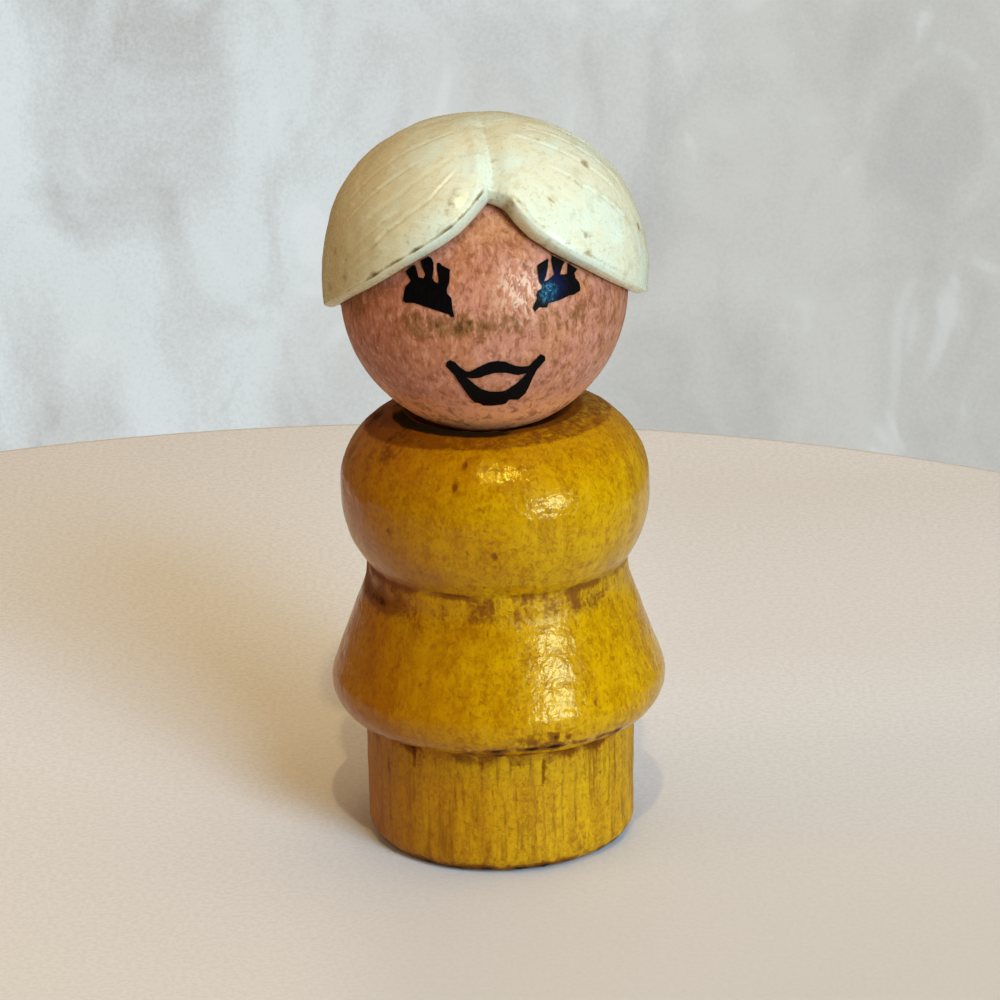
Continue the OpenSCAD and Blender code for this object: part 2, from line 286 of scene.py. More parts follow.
def bodyDirtAndShade(rings, turn, r):  # dirt in the grooves and on the hem; painted shade on the left shoulder, under and along the hem and at the foot; dirt and painted shadow of the head round the neck
    x, y, z = rings[..., 0], rings[..., 1], rings[..., 2]
    patchy, fleck = waves(rings, 2.4, 11), waves(rings, 1.1, 12)
    joined = ease(turn, -175, -140)  # so that nothing ends abruptly at the very back
    waist = bell(z, body["waist"], 0.35) * (0.42 + 0.16 * waves(rings, 5, 13))
    waist += ease(z, 21.0, 22.8) * ease(z, 24.9, 23.7) * (0.27 + 0.1 * patchy) * ease(turn, 90, 40) * joined
    # painted shade on the left shoulder, on the side away from the lamps
    shoulder = ease(turn, -20, -60) * ease(turn, -120, -90) * ease(z, 31, 34) * (0.22 + 0.12 * patchy)
    ring = bell(z, 35.15, 0.12) * bell(turn, 6, 18) * 0.45 * ease(r, 9, 10)
    # painted shade on the underside of the hem
    crease = ease(z, 10.4, 10.7) * ease(z, 12.2, 11.3) * ease(r, 10.9, 11.3) * (0.4 + 0.35 * patchy)
    smudge = bell(turn, 15, 14) * bell(z, 12.7, 0.75) * (0.62 + 0.34 * fleck)
    # painted shade along the hem's lower edge at the front
    hemLine = bell(z, body["hemEdge"], 0.22) * ease(turn, -16, 4) * ease(turn, 66, 45) * (0.7 + 0.35 * patchy)
    # painted shade on the peg under the hem
    underHem = ease(z, 9.0, 10.5) * ease(z, 10.7, 10.6) * (0.3 + 0.25 * patchy)
    # painted contact shade and dirt along the foot's edge
    foot = ease(z, 1.2, 0.3) * ease(r, 9, 10.2) * (0.95 + 0.35 * patchy)
    # round the neck, dirt and painted shadow of the head; in the crevice under the ball, painted shadow that
    # is black on the left and brown on the right
    neck = 0.44 + 0.16 * ease(turn, 45, -50) * joined + 0.05 * fleck
    neck *= ease(np.hypot(x + 0.5, y - 0.8), 10.35, 10.0)
    crevice = ease(np.hypot(x + 0.6, y), 8.2, 7.6)
    crevice *= 0.75 + 1.25 * ease(turn, 22, -14) * ease(turn, -92, -64)
    neck = np.maximum(neck, crevice) * ease(z, 34.3, 34.9)
    onWall = (waist + shoulder + ring) * (r > body["wallR"])
    return onWall + crease + smudge + hemLine + underHem + foot + neck


def buildBody():
    outline = finer(roundedOutline(body["corners"]), body["step"])
    outline[0, 0] = outline[-1, 0] = body["axisGap"]
    rings, normals = spun(outline, body["cols"])
    x, y, z = rings[..., 0], rings[..., 1], rings[..., 2]
    turn, r = np.degrees(np.arctan2(x, -y)), np.hypot(x, y)
    off = np.hypot(x - ballCentre[0], y)
    dish = ballCentre[2] - np.sqrt(np.maximum(body["seatR"] ** 2 - off ** 2, 0))
    inDish = (z > body["topFrom"]) & (off < body["seatR"] - body["seatMargin"]) & (dish < z)
    wall, peg = r > body["wallR"], (r > body["pegR"]) & (z < body["pegTop"])

    def around(az):  # distance round the body from an azimuth
        return np.radians((turn - az + 180) % 360 - 180) * r

    soil, dents = bodyDirtAndShade(rings, turn, r), np.zeros(r.shape)
    for az, level, width, height, strength in body["stains"]:
        soil += bell(around(az), 0, width) * bell(z, level, height) * strength * wall
    for az, level, width, strength in body["pits"]:
        mark = bell(around(az), 0, width) * bell(z, level, width * 1.5) * wall * strength
        soil += mark
        dents += mark * body["pitDepth"]
    for az, level, width, length, strength in body["scores"]:
        mark = bell(around(az), 0, width) * np.exp(-((z - level) / length) ** 4) * peg * strength
        soil += mark * 0.8
        dents += mark * body["scoreDepth"]
    fibres = waves(rings * np.array([1, 1, 0.06]), 0.8, 16, 60) * 0.012 * ease(z, 11, 10)
    chips = ease(waves(rings, 1.6, 17), 1.1, 2.0) * bell(z, 11.6, 0.5) * body["chipDepth"]
    lumps = waves(rings, 9, 18) * body["uneven"] + waves(rings, 2.6, 19) * 0.012
    moved = rings + normals * (lumps + fibres - dents - chips)[..., None]
    level = np.where(r < body["footR"], np.maximum(moved[..., 2], 0), moved[..., 2])
    level = np.where(z < 0.01, z, level)  # the foot stays flat
    moved[..., 2] = np.where(inDish, np.maximum(dish, body["seatFloor"]), level)
    # the seat under the ball is given painted shade
    soil = np.where(inDish, 0.75, soil)
    return ringMesh("turnedBody", moved, soil=np.clip(soil, 0, 1.4))


def yellowLacquer():
    amber = (1.0, 0.98, 0.55, 1.0)
    g, join = newFinish("yellowLacquer", {"Specular IOR Level": 0.28, "Specular Tint": amber})
    p, hue = g.place(), palette(body["colors"])
    soil, x, z = g.painted("soil"), g.part(p, 0), g.part(p, 2)
    bare = g.step(z, 11.4, 10.4)  # the peg is rubbed bare of gloss
    bands = g.grain(g.stretch(p, (0.8, 0.8, 0.04)), 1, 2, 0.5)
    fibres = g.grain(g.stretch(p, (1.9, 1.9, 0.2)), 1, 4, 0.6)
    pores = g.grain(g.stretch(p, (3.6, 3.6, 1.0)), 1, 2, 0.5)
    blotch = g.grain(p, 0.35, 3, 0.6)
    mottle = g.grain(g.stretch(p, (2.2, 2.2, 1.9)), 1, 3, 0.7, 0.9)
    color = g.mix(g.step(bands, 0.4, 0.62), hue["gold"], hue["band"])
    color = g.mix(g.step(blotch, 0.45, 0.7) * 0.5, color, hue["blotch"])
    color = g.mix(g.step(mottle, 0.5, 0.32) * 0.5, color, hue["light"])
    color = g.mix(g.step(x + (blotch - 0.5) * 8, 7.5, -12.5) * 0.64, color, hue["aged"])  # painted shade on the left side
    color = g.mix(g.step(z + (blotch - 0.5) * 4, 32.5, 36.0) * 0.3, color, hue["shoulder"])
    color = g.mix(g.step(mottle, 0.46, 0.72) * 0.62, color, hue["mottle"])
    color = g.mix(g.step(fibres, 0.5, 0.68) * (0.2 + bare * 0.42), color, hue["fibre"])
    color = g.mix(g.step(pores, 0.66, 0.76) * 0.5, color, hue["pore"])
    # dirt and painted shade, broken up by the grain; the deepest goes near black
    darkening = soil + (mottle - 0.5) * 0.8 + (fibres - 0.5) * 0.5
    color = g.mix(g.step(darkening, 0.12, 0.62) * 0.82, color, hue["soil"])
    color = g.mix(g.step(darkening, 0.7, 1.3) * 0.97, color, hue["grime"])
    shine = 0.19 + bare * 0.39 + g.step(darkening, 0.2, 0.8) * 0.35 + g.step(blotch, 0.4, 0.7) * 0.05
    shine += g.step(darkening, 0.8, 1.3) * 0.4 + g.step(z, 21.2, 22.2) * g.step(z, 25.4, 24.6) * 0.14
    height = mottle * 0.25 + fibres * 0.2 + g.grain(p, 1.5, 2, 0.45) * 1.5 + g.grain(p, 3.4, 1, 0.5) * 0.4
    polished = g.spot(p, body["bright"], 0.9, 0.9)
    return join(color, shine, g.bump(height * (1 - polished * 0.8), 0.05))


# head ball
# bore, washer and pocket: radii
# band: the soiled one across the eyes
# skin: how near the true ball a point has to be to share its unevenness
# sink: how far the uneven skin lies below the true ball

ball = {"edge": 0.5, "bore": 1.06, "washer": 2.2, "pocket": 2.5, "pocketFloor": 9.5, "cols": 360, "rows": 190,
        "bandLevel": 0.4, "bandHalf": 1.4, "skin": 0.6, "sink": 0.03, "rubbed": (2.5, -10.9, 50.2),
        # of these colours, one is painted shade on the left side, one a painted glow of bounced light under
        # the ball, and the darkest colour dirt and painted shade alike
        "colors": {"tan": "b67650", "rose": "b97a60", "aged": "984a2c", "chin": "ffb070", "blot": "8d4f2e",
                   "pale": "cf9474", "stroke": "864c2e", "bright": "d89c78", "soil": "7c4f22",
                   "grime": "42260e", "rubbed": "e8c4a8"}}


def buildBall():
    edge, flat = ball["edge"], -ballFlat
    flatR = math.sqrt((ballR - edge) ** 2 - (-flat - edge) ** 2)
    start = math.atan2(flat + edge, flatR)
    stop = math.acos(ball["pocket"] / ballR)
    outline = [(ball["bore"], flat), (ball["washer"], flat), (flatR, flat)]
    outline += [(flatR + edge * math.cos(a), flat + edge + edge * math.sin(a))
                for a in np.linspace(-math.pi / 2, start, 7)[1:-1]]
    outline += [(ballR * math.cos(a), ballR * math.sin(a)) for a in np.linspace(start, stop, ball["rows"])]
    outline += [(ball["pocket"], ball["pocketFloor"]), (ball["bore"], ball["pocketFloor"])]
    rings, normals = spun(np.array(outline), ball["cols"], ballCentre)
    local = rings - np.array(ballCentre)
    skin = np.linalg.norm(local, axis=-1) > ballR - ball["skin"]
    lumps = waves(local, 8, 21) * 0.012 + waves(local * np.array([1, 1, 0.25]), 1.3, 22) * 0.006
    lumps -= ball["sink"]
    x, y, z = local[..., 0], local[..., 1], local[..., 2]
    turn = np.degrees(np.arctan2(x, -y))
    front = ease(np.abs(turn), 75, 40)
    band = bell(z, ball["bandLevel"], ball["bandHalf"]) * (0.45 + 0.5 * bell(x, -1.0, 4.2))
    band += bell(x, -3.2, 1.2) * bell(z, 0.2, 0.9) * 0.3
    # painted shade on the left cheek
    leftCheekShade = ease(turn, -30, -75) * ease(turn, -150, -100) * 0.3
    chin = ease(z, -1, -5) * 0.04 + ease(z, -9.2, -10.4) * 0.3
    soil = np.clip(band * front + leftCheekShade + chin + 0.1 * waves(local, 3, 23), 0, 1)
    moved = rings + normals * np.minimum(lumps * skin, 0)[..., None]
    return ringMesh("headBall", moved, closed=True, soil=soil)


def fleshPaint():
    g, join = newFinish("fleshPaint", {"Specular IOR Level": 0.22})
    p, hue = g.place(), palette(ball["colors"])
    soil, x, z = g.painted("soil"), g.part(p, 0), g.part(p, 2)
    blots = g.grain(g.stretch(p, (1.1, 1.1, 0.8)), 1, 4, 0.65, 0.5)
    strokes = g.grain(g.stretch(p, (2.6, 2.6, 1.3)), 1, 3, 0.6, 0.3)
    fine = g.grain(g.stretch(p, (5.0, 5.0, 2.6)), 1, 2, 0.6)
    patches = g.grain(p, 0.3, 3, 0.55)
    color = g.mix(g.step(patches, 0.38, 0.62), hue["tan"], hue["rose"])
    # painted shade on the left side
    color = g.mix(g.step(x + (patches - 0.5) * 8, 1.0, -11.0) * 0.5, color, hue["aged"])
    # painted bounce light, lighter and more orange under the ball
    color = g.mix(g.step(z + (patches - 0.5) * 3, 41.5, 37.5) * 0.9, color, hue["chin"])
    color = g.mix(g.step(blots, 0.5, 0.64) * 0.68, color, hue["blot"])
    color = g.mix(g.step(blots, 0.46, 0.34) * 0.5, color, hue["pale"])
    calm = g.step(z, 37.5, 42.0)  # the chin is cleaner than the face
    color = g.mix(g.step(strokes, 0.53, 0.66) * (0.25 + calm * 0.47), color, hue["stroke"])
    color = g.mix(g.step(strokes, 0.45, 0.34) * 0.45, color, hue["bright"])
    darkening = soil + (blots - 0.5) * 1.3 + (strokes - 0.5) * 1.2 + (fine - 0.5) * 0.5
    color = g.mix(g.step(darkening, 0.3, 0.85) * 0.75, color, hue["soil"])
    color = g.mix(g.step(darkening, 0.8, 1.2) * 0.8, color, hue["grime"])
    flaky = g.grain(g.stretch(p, (2.4, 2.4, 1.2)), 1, 3, 0.6, 0.8)
    rubbed = g.spot(p, ball["rubbed"], 2.0, 1.6) * g.step(flaky, 0.47, 0.6)
    color = g.mix(rubbed * 0.75, color, hue["rubbed"])
    return join(color, 0.45 + g.step(darkening, 0.3, 1.0) * 0.2, g.bump(strokes * 0.6 + fine * 0.4, 0.03))


# hair cap
# spread, lift and back: the two cones that cut the front hem, in degrees
# fall and drop values: where and how far the hem sinks from the side tips to the nape
# halvings: steps of the two searches by halving
# hemDrop: azimuth, and how far the moulded hem runs below its plain cone there
# rim: section of the hem's edge, as distance in from the hem and share of the wall from inside to outside
# valley: the parting's shift to the side and its depth, each over angles up from the front
# left and right: strands as points out from the parting, how far up from the hem, depth, width and dirt
# smudges: azimuth, rise above the ball's middle, size in degrees, strength

hair = {
    "yaw": 3, "inner": 11.85, "radius": 13.35, "crown": 13.15, "rise": 0.9, "power": 2.2,
    "spread": 57.3, "lift": 53, "back": 11.4, "tipDrop": 0.6, "fallFront": 1, "fallBack": 14, "napeDrop": 6,
    "cols": 720, "rows": 150, "insideRows": 16, "insideTip": 0.012, "outsideTip": 0.997, "leftTrim": 0.3,
    "hemHalvings": 50, "reachHalvings": 40,
    # of these colours, one is painted shade on the left side, and the darkest colour dirt and painted shade
    # alike
    "colors": {"cream": "dad8b8", "cool": "d6dec6", "aged": "c4b07e", "speck": "ad9c6b", "cloud": "b0a06c",
               "scratch": "ece6c8", "soil": "8a7442", "grime": "4a3c20"},
    "hemDrop": [(-130, 0), (-98, 0.3), (-88, 0.3), (-78, 0), (-62, -0.3), (-48, -0.19), (-38, -0.07),
                (-30, 0.19), (-22, 0.54), (-14, 0.73), (-7.5, 0.5), (-2.5, 0.19), (0, 0.05), (5, -0.3),
                (8.8, -0.42), (13.4, 0.18), (17.9, 0.54), (27, 0.47), (33, 0.29), (39, 0.06), (48, -0.13),
                (64, -0.28), (80, -0.1), (88, 0)],
    "rim": [(1.6, 0.0), (0.9, 0.0), (0.45, 0.0), (0.22, 0.01), (0.1, 0.04), (0.0, 0.12), (-0.06, 0.24),
            (-0.09, 0.38), (-0.09, 0.52), (-0.06, 0.66), (-0.01, 0.77), (0.04, 0.86), (0.08, 0.93),
            (0.12, 0.97), (0.16, 0.99), (0.2, 1.0), (0.26, 1.0), (0.34, 1.0), (0.44, 1.0), (0.56, 1.0),
            (0.72, 1.0), (0.9, 1.0), (1.15, 1.0)],
    "valley": {"long": [44, 47, 55, 66, 75, 90], "side": [-0.02, 0.18, 0.5, 0.46, 0.3, 0.1],
               "deepLong": [42, 50, 62, 75, 86, 96, 130], "deep": [0.5, 0.55, 0.5, 0.36, 0.2, 0.08, 0.0]},
    "left": [([2.0, 2.2, 4.5, 7, 8, 9, 11.6], [0.39, 0.37, 0.26, 0.225, 0.215, 0.19, 0.2], 0.06, 0.012, 0.32),
             ([4.6, 5.5, 6.6, 8.8, 12], [0.57, 0.57, 0.56, 0.54, 0.52], 0.035, 0.012, 0.2),
             ([5.6, 6.2, 6.6, 9.3, 12], [0.05, 0.06, 0.07, 0.12, 0.13], 0.05, 0.012, 0.4),
             ([6.5, 8, 10, 12], [0.3, 0.29, 0.28, 0.28], 0.03, 0.014, 0.25),
             ([1.6, 3, 7, 12], [0.52, 0.48, 0.4, 0.37], 0.03, 0.02, 0.08),
             ([1.5, 3, 8, 12], [0.8, 0.76, 0.72, 0.7], 0.03, 0.015, 0.12)],
    "right": [([4.2, 5.7, 7.7, 9.3, 12], [0.49, 0.49, 0.47, 0.49, 0.5], 0.05, 0.011, 0.25),
              ([3.0, 4.2, 5.1, 6.2, 7.0], [0.29, 0.265, 0.25, 0.19, 0.17], 0.05, 0.012, 0.4),
              ([6.8, 7.9, 9.5, 12], [0.17, 0.16, 0.16, 0.15], 0.04, 0.012, 0.3),
              ([1.8, 4, 8, 12], [0.4, 0.36, 0.31, 0.3], 0.03, 0.02, 0.06),
              ([1.5, 3, 8, 12], [0.72, 0.7, 0.68, 0.67], 0.035, 0.013, 0.12),
              ([2.5, 4, 8, 12], [0.88, 0.86, 0.84, 0.83], 0.03, 0.012, 0.06)],
    "backStrands": 30,
    "smudges": [(8, 80, 1.6, 0.8), (50, 66.5, 2, 0.35), (76, 55.5, 2, 0.6), (63.5, 51.5, 2.2, 0.6),
                (63, 33, 1.6, 0.6), (59, 28, 2.2, 0.8), (77, 23, 2.2, 0.7), (68.6, 11, 2.4, 0.7),
                (54, 16, 2.4, 0.8), (38, 24, 1.6, 0.3), (45, 25, 1.6, 0.5), (39, 29, 1.3, 0.4),
                (29, 33.5, 1.2, 0.5), (23, 30.5, 1.8, 0.45), (9, 44, 4, 0.4), (-15.6, 48, 1.8, 0.5),
                (-16.5, 44.5, 1.8, 0.6), (-18, 41.5, 1.5, 0.5), (-70, 20, 2.6, 0.6), (-61, 20, 2.4, 0.5),
                (-53.6, 21, 2.6, 0.6), (-61, 14.5, 2.2, 0.6), (-46.5, 23.5, 2.4, 0.5), (-35, 25, 1.6, 0.6),
                (-34, 31, 1.8, 0.5), (-67, 44.6, 2.4, 0.3), (-33, 74.6, 2, 0.25), (-46, 18.6, 2, 0.4),
                (-74, 8, 3, 0.5)],
}


def hemAngle(phi):  # the hem's angle down from the crown, for each azimuth, where 0 is the front
    lift, back, spread = (math.radians(hair[key]) for key in ("lift", "back", "spread"))
    flatPart = math.cos(lift) * (math.cos(back) * np.abs(np.sin(phi)) - math.sin(back) * np.cos(phi))
    size = np.hypot(flatPart, math.sin(lift))
    front = np.arctan2(flatPart, math.sin(lift)) + np.arccos(math.cos(spread) / size)
    shell = (hair["inner"] + hair["radius"]) / 2
    low, high = np.full(phi.shape, 0.6), np.full(phi.shape, 2.6)  # well above and well below the hem
    for _ in range(hair["hemHalvings"]):
        middle = (low + high) / 2
        y = -shell * np.sin(middle) * np.cos(phi)
        share = np.clip((y + hair["fallFront"]) / (hair["fallFront"] + hair["fallBack"]), 0, 1)
        level = -hair["tipDrop"] - (hair["napeDrop"] - hair["tipDrop"]) * share ** 2 * (3 - 2 * share)
        over = shell * np.cos(middle) > level
        low, high = np.where(over, middle, low), np.where(over, high, middle)
    y = -hair["inner"] * np.sin(front) * np.cos(phi)
    hem = np.where((np.cos(phi) > 0) & (y < -hair["fallFront"]), np.minimum(front, low), low)
    turn = np.degrees((phi + math.pi) % (2 * math.pi) - math.pi)
    fine = np.linspace(-180, 180, 1441)  # every quarter of a degree
    drop = np.interp(fine, *np.transpose(hair["hemDrop"]))
    soft = np.hanning(19)[1:-1]  # evens the corners out over two degrees either way
    drop = np.convolve(np.pad(drop, 8, "edge"), soft / soft.sum(), "valid")
    return hem + np.interp(turn, fine, drop) / hair["inner"]


def capReach(direction):  # distance from the ball's centre to the cap's smooth outside
    low, high = np.full(direction.shape[:-1], 11.0), np.full(direction.shape[:-1], 17.0)  # inside and outside
    side = np.hypot(direction[..., 0], direction[..., 1])
    for _ in range(hair["reachHalvings"]):
        t = (low + high) / 2
        wide = (t * side / hair["radius"]) ** hair["power"]
        tall = (np.abs(t * direction[..., 2] - hair["rise"]) / hair["crown"]) ** hair["power"]
        low, high = np.where(wide + tall > 1, low, t), np.where(wide + tall > 1, t, high)
    return low


def frontStrands(direction, x, long, phi, hem, broken):  # strands that run from the parting along the hem
    relief, soil = np.zeros(x.shape), np.zeros(x.shape)
    ahead = ease(direction[..., 1], 0.06, -0.02)
    for side, name in ((-1, "left"), (1, "right")):
        keep = (np.cos(phi) > 0) & (side * np.sin(phi) > -1e-9)
        out = side * np.sin(hem[keep]) * np.sin(phi[keep])
        lift = np.degrees(np.arctan2(np.cos(hem[keep]), np.sin(hem[keep]) * np.cos(phi[keep])))
        order = np.argsort(out)
        hemLong = np.interp(side * direction[..., 0], out[order], lift[order])
        up = (long - hemLong) / (90 - hemLong)
        mine = (side * x > 0) * ahead
        for outs, ups, depth, width, darkening in hair[name]:
            line = np.interp(side * x, outs, ups)
            window = ease(side * x, outs[0], outs[0] + 1.6) * ease(side * x, outs[-1], outs[-1] - 2.2) * mine
            relief -= depth * bell(up, line, width) * window
            relief += depth * 0.6 * bell(up, line + 2.4 * width, 1.6 * width) * window
            soil += darkening * bell(up, line, width * 1.3) * window * broken
    return relief, soil


def backStrands(direction, phi, broken):  # strands that fan out down the back
    relief, soil = np.zeros(phi.shape), np.zeros(phi.shape)
    rng = np.random.default_rng(31)
    spots = np.linspace(96, 264, hair["backStrands"]) + rng.uniform(-2, 2, hair["backStrands"])
    turn = np.degrees(phi) % 360
    theta = np.degrees(np.arccos(np.clip(direction[..., 2], -1, 1)))
    behind = ease(direction[..., 1], -0.02, 0.12) * ease(theta, 14, 34)
    for spot in spots:
        depth, width = rng.uniform(0.03, 0.08), rng.uniform(0.7, 1.3)
        bow = 3.0 * np.sin(np.radians(theta * 1.6)) * np.sign(spot - 180)
        relief -= depth * bell(turn, spot + bow, width) * behind
        relief += depth * 0.5 * bell(turn, spot + bow + 2.2 * width, 1.6 * width) * behind
        soil += depth * 4 * bell(turn, spot + bow, width) * behind * broken
    return relief, soil


def hairRelief(direction, reach, turn, phi, hem):  # grooves, the parting's valley and the dirt in them
    x = direction[..., 0] * reach
    long = np.degrees(np.arctan2(direction[..., 2], -direction[..., 1]))
    long = np.where(long < -90, long + 360, long)  # 0 in front, 90 at the crown, 180 behind
    broken = np.clip(0.7 + 0.7 * waves(direction * reach[..., None], 2.4, 36), 0.1, 1.6)
    relief, soil = frontStrands(direction, x, long, phi, hem, broken)
    reliefBack, soilBack = backStrands(direction, turn, broken)
    relief, soil = relief + reliefBack, soil + soilBack
    valley = hair["valley"]
    middle = np.interp(long, valley["long"], valley["side"])
    deep = np.interp(long, valley["deepLong"], valley["deep"])
    width = np.where(x < middle, 0.5, 0.95)
    relief -= deep * np.exp(-np.abs((x - middle) / width) ** 1.8)
    relief += 0.2 * deep * bell(x, middle - 1.15, 0.5)
    # painted shade in and beside the parting's valley
    soil += ease(deep, 0.02, 0.3) * (0.2 * bell(x, middle, 0.2) + 0.2 * bell(x, middle + 0.55, 0.7))
    for az, rise, size, strength in hair["smudges"]:
        a, e = math.radians(az), math.radians(rise)
        way = np.array([math.sin(a) * math.cos(e), -math.cos(a) * math.cos(e), math.sin(e)])
        away = np.degrees(np.arccos(np.clip(direction @ way, -1, 1)))
        soil += strength * bell(away, 0, size) * broken
    return relief, soil


def buildHair():
    cols, rows, inside, inner = hair["cols"], hair["rows"], hair["insideRows"], hair["inner"]
    phi = np.arange(cols) * 2 * math.pi / cols - math.pi / 2
    hem = hemAngle(phi)
    fall = np.gradient(np.concatenate([hem[-1:], hem, hem[:1]]))[1:-1] / (2 * math.pi / cols)
    slope = np.sqrt(1 + (fall / np.sin(hem)) ** 2)
    slope = np.maximum(slope, np.minimum(np.roll(slope, 2), np.roll(slope, -2)))
    rim = hair["rim"]
    start = hem - rim[0][0] * slope / inner
    theta = [start * max(k / inside, hair["insideTip"]) for k in range(inside)]  # from the crown down
    theta += [hem - along * slope / inner for along, _ in rim]
    share = [np.zeros(cols)] * inside + [np.full(cols, part) for _, part in rim] + [np.ones(cols)] * rows
    last = theta[-1]
    theta += [last * (1 - min(k / rows, hair["outsideTip"])) for k in range(1, rows + 1)]
    theta, share = np.array(theta), np.array(share)
    turn = phi[None, :] + 0 * theta
    direction = np.stack([np.sin(theta) * np.sin(turn), -np.sin(theta) * np.cos(turn), np.cos(theta)], -1)
    reach = capReach(direction)
    relief, soil = hairRelief(direction, reach, turn, phi, hem)
    places = direction * reach[..., None]
    relief += waves(places, 6, 32) * 0.03 + waves(places, 2.2, 33) * 0.012 + waves(places, 1.0, 37) * 0.004
    above = (hem - theta) * inner / slope  # distance in from the hem
    outer = ease(share, 0.8, 0.97)
    left = ease(turn, 0.02, -0.08) * ease(turn, -1.3, -0.6) * outer
    right = ease(turn, 0.12, 0.3) * ease(turn, 1.4, 0.9) * outer
    uneven = np.clip(0.95 + 0.4 * waves(places, 2.0, 34), 0.4, 1.5)
    relief -= hair["leftTrim"] * ease(-direction[..., 0], 0.7, 1.0)
    relief -= (0.22 * ease(above, 1.8, 0.1) + 0.2 * uneven * bell(above, 0.2, 0.075)) * left
    relief -= 0.2 * ease(above, 0.6, 0.0) * right
    soil += (0.85 * uneven * bell(above, 0.2, 0.1) + 0.45 * ease(above, 0.2, 0.05)) * left
    soil += 0.35 * bell(above, 0.45, 0.15) * right
    # painted shade on the inside and underside of the rim
    soil += ease(share, 0.35, 0.1) * 0.5
    radius = inner + share * (reach + relief - inner)
    x, y, z = np.moveaxis(direction * radius[..., None], -1, 0)
    c, s = math.cos(math.radians(hair["yaw"])), math.sin(math.radians(hair["yaw"]))
    rings = np.stack([x * c - y * s, x * s + y * c, z], -1) + np.array(ballCentre)
    return ringMesh("hairCap", rings, soil=np.clip(soil, 0, 1.2))


def hairPlastic():
    g, join = newFinish("hairPlastic", {"Specular IOR Level": 0.35})
    p, hue = g.place(), palette(hair["colors"])
    soil, x = g.painted("soil"), g.part(p, 0)
    patches = g.grain(p, 0.22, 3, 0.55)
    clouds = g.grain(p, 0.7, 3, 0.6)
    fine = g.grain(p, 2.6, 4, 0.65)
    flecks = g.grain(p, 1.4, 2, 0.5)
    scratches = g.grain(g.stretch(p, (0.5, 0.5, 5.0)), 1, 2, 0.5, 0.6)
    color = g.mix(g.step(patches, 0.4, 0.62), hue["cream"], hue["cool"])
    # painted shade on the left side
    color = g.mix(g.step(x + (patches - 0.5) * 6, -1.5, -9.5) * 0.7, color, hue["aged"])
    color = g.mix(g.step(fine, 0.5, 0.72) * 0.4, color, hue["speck"])
    color = g.mix(g.step(clouds, 0.52, 0.7) * 0.3, color, hue["cloud"])
    color = g.mix(g.step(scratches, 0.6, 0.68) * 0.25, color, hue["scratch"])
    darkening = soil + (fine - 0.5) * 0.9 + (flecks - 0.5) * 0.5
    color = g.mix(g.step(darkening, 0.15, 0.8) * 0.75, color, hue["soil"])
    color = g.mix(g.step(darkening, 0.7, 1.2) * 0.8, color, hue["grime"])
    height = fine * 0.5 + g.grain(p, 1.1, 2, 0.5) * 0.4
    shine = 0.26 + g.step(darkening, 0.2, 0.9) * 0.3 + g.step(fine, 0.4, 0.7) * 0.1
    return join(color, shine, g.bump(height, 0.03))


# pieces carried over from the CAD: ink prints and the pin

ink = {"bluePlace": (4.75, -9.9, 50.2), "tealPlace": (4.4, -10.2, 49.75),
       "colors": {"black": "050405", "dusty": "0d0b0c", "blue": "06133c", "teal": "15556e", "pale": "74a6b2"}}
pin = {"colors": {"steel": "b9b8b4", "dark": "8e8c88"}}


def blackInk(worn):  # worn ink shows some blue and teal
    g, join = newFinish("wornInk" if worn else "blackInk", {"Specular IOR Level": 0.05})
    p, hue = g.place(), palette(ink["colors"])
    grainy = g.grain(g.stretch(p, (3.0, 3.0, 1.4)), 1, 3, 0.6)
    color = g.mix(g.step(grainy, 0.45, 0.7) * 0.5, hue["black"], hue["dusty"])
    if worn:
        blue = g.spot(p, ink["bluePlace"], 1.0, 0.75) * g.step(grainy, 0.25, 0.55)
        color = g.mix(blue, color, hue["blue"])
        teal = g.spot(p, ink["tealPlace"], 0.65, 0.55)
        streaks = g.grain(g.stretch(p, (3.4, 3.4, 2.0)), 1, 3, 0.7, 1.2)
        color = g.mix(teal * g.step(streaks, 0.36, 0.58), color, hue["teal"])
        color = g.mix(teal * g.step(streaks, 0.55, 0.66) * 0.8, color, hue["pale"])
    return join(color, 0.4 + grainy * 0.15, g.bump(grainy, 0.02))


def pinSteel():
    g, join = newFinish("pinSteel", {"Metallic": 1.0})
    hue = palette(pin["colors"])
    rings = g.grain(g.stretch(g.place(), (0.6, 0.6, 6.0)), 1, 3, 0.6)
    return join(g.mix(rings, hue["steel"], hue["dark"]), 0.28 + rings * 0.2, g.bump(rings, 0.01))


# stage: pale round table top, soft lamps, pale surroundings, camera
# tableRings: radii of the rings inside the table top's rim
# lamps: azimuth and height in degrees, distance and size in mm, watts, colour, what shows them

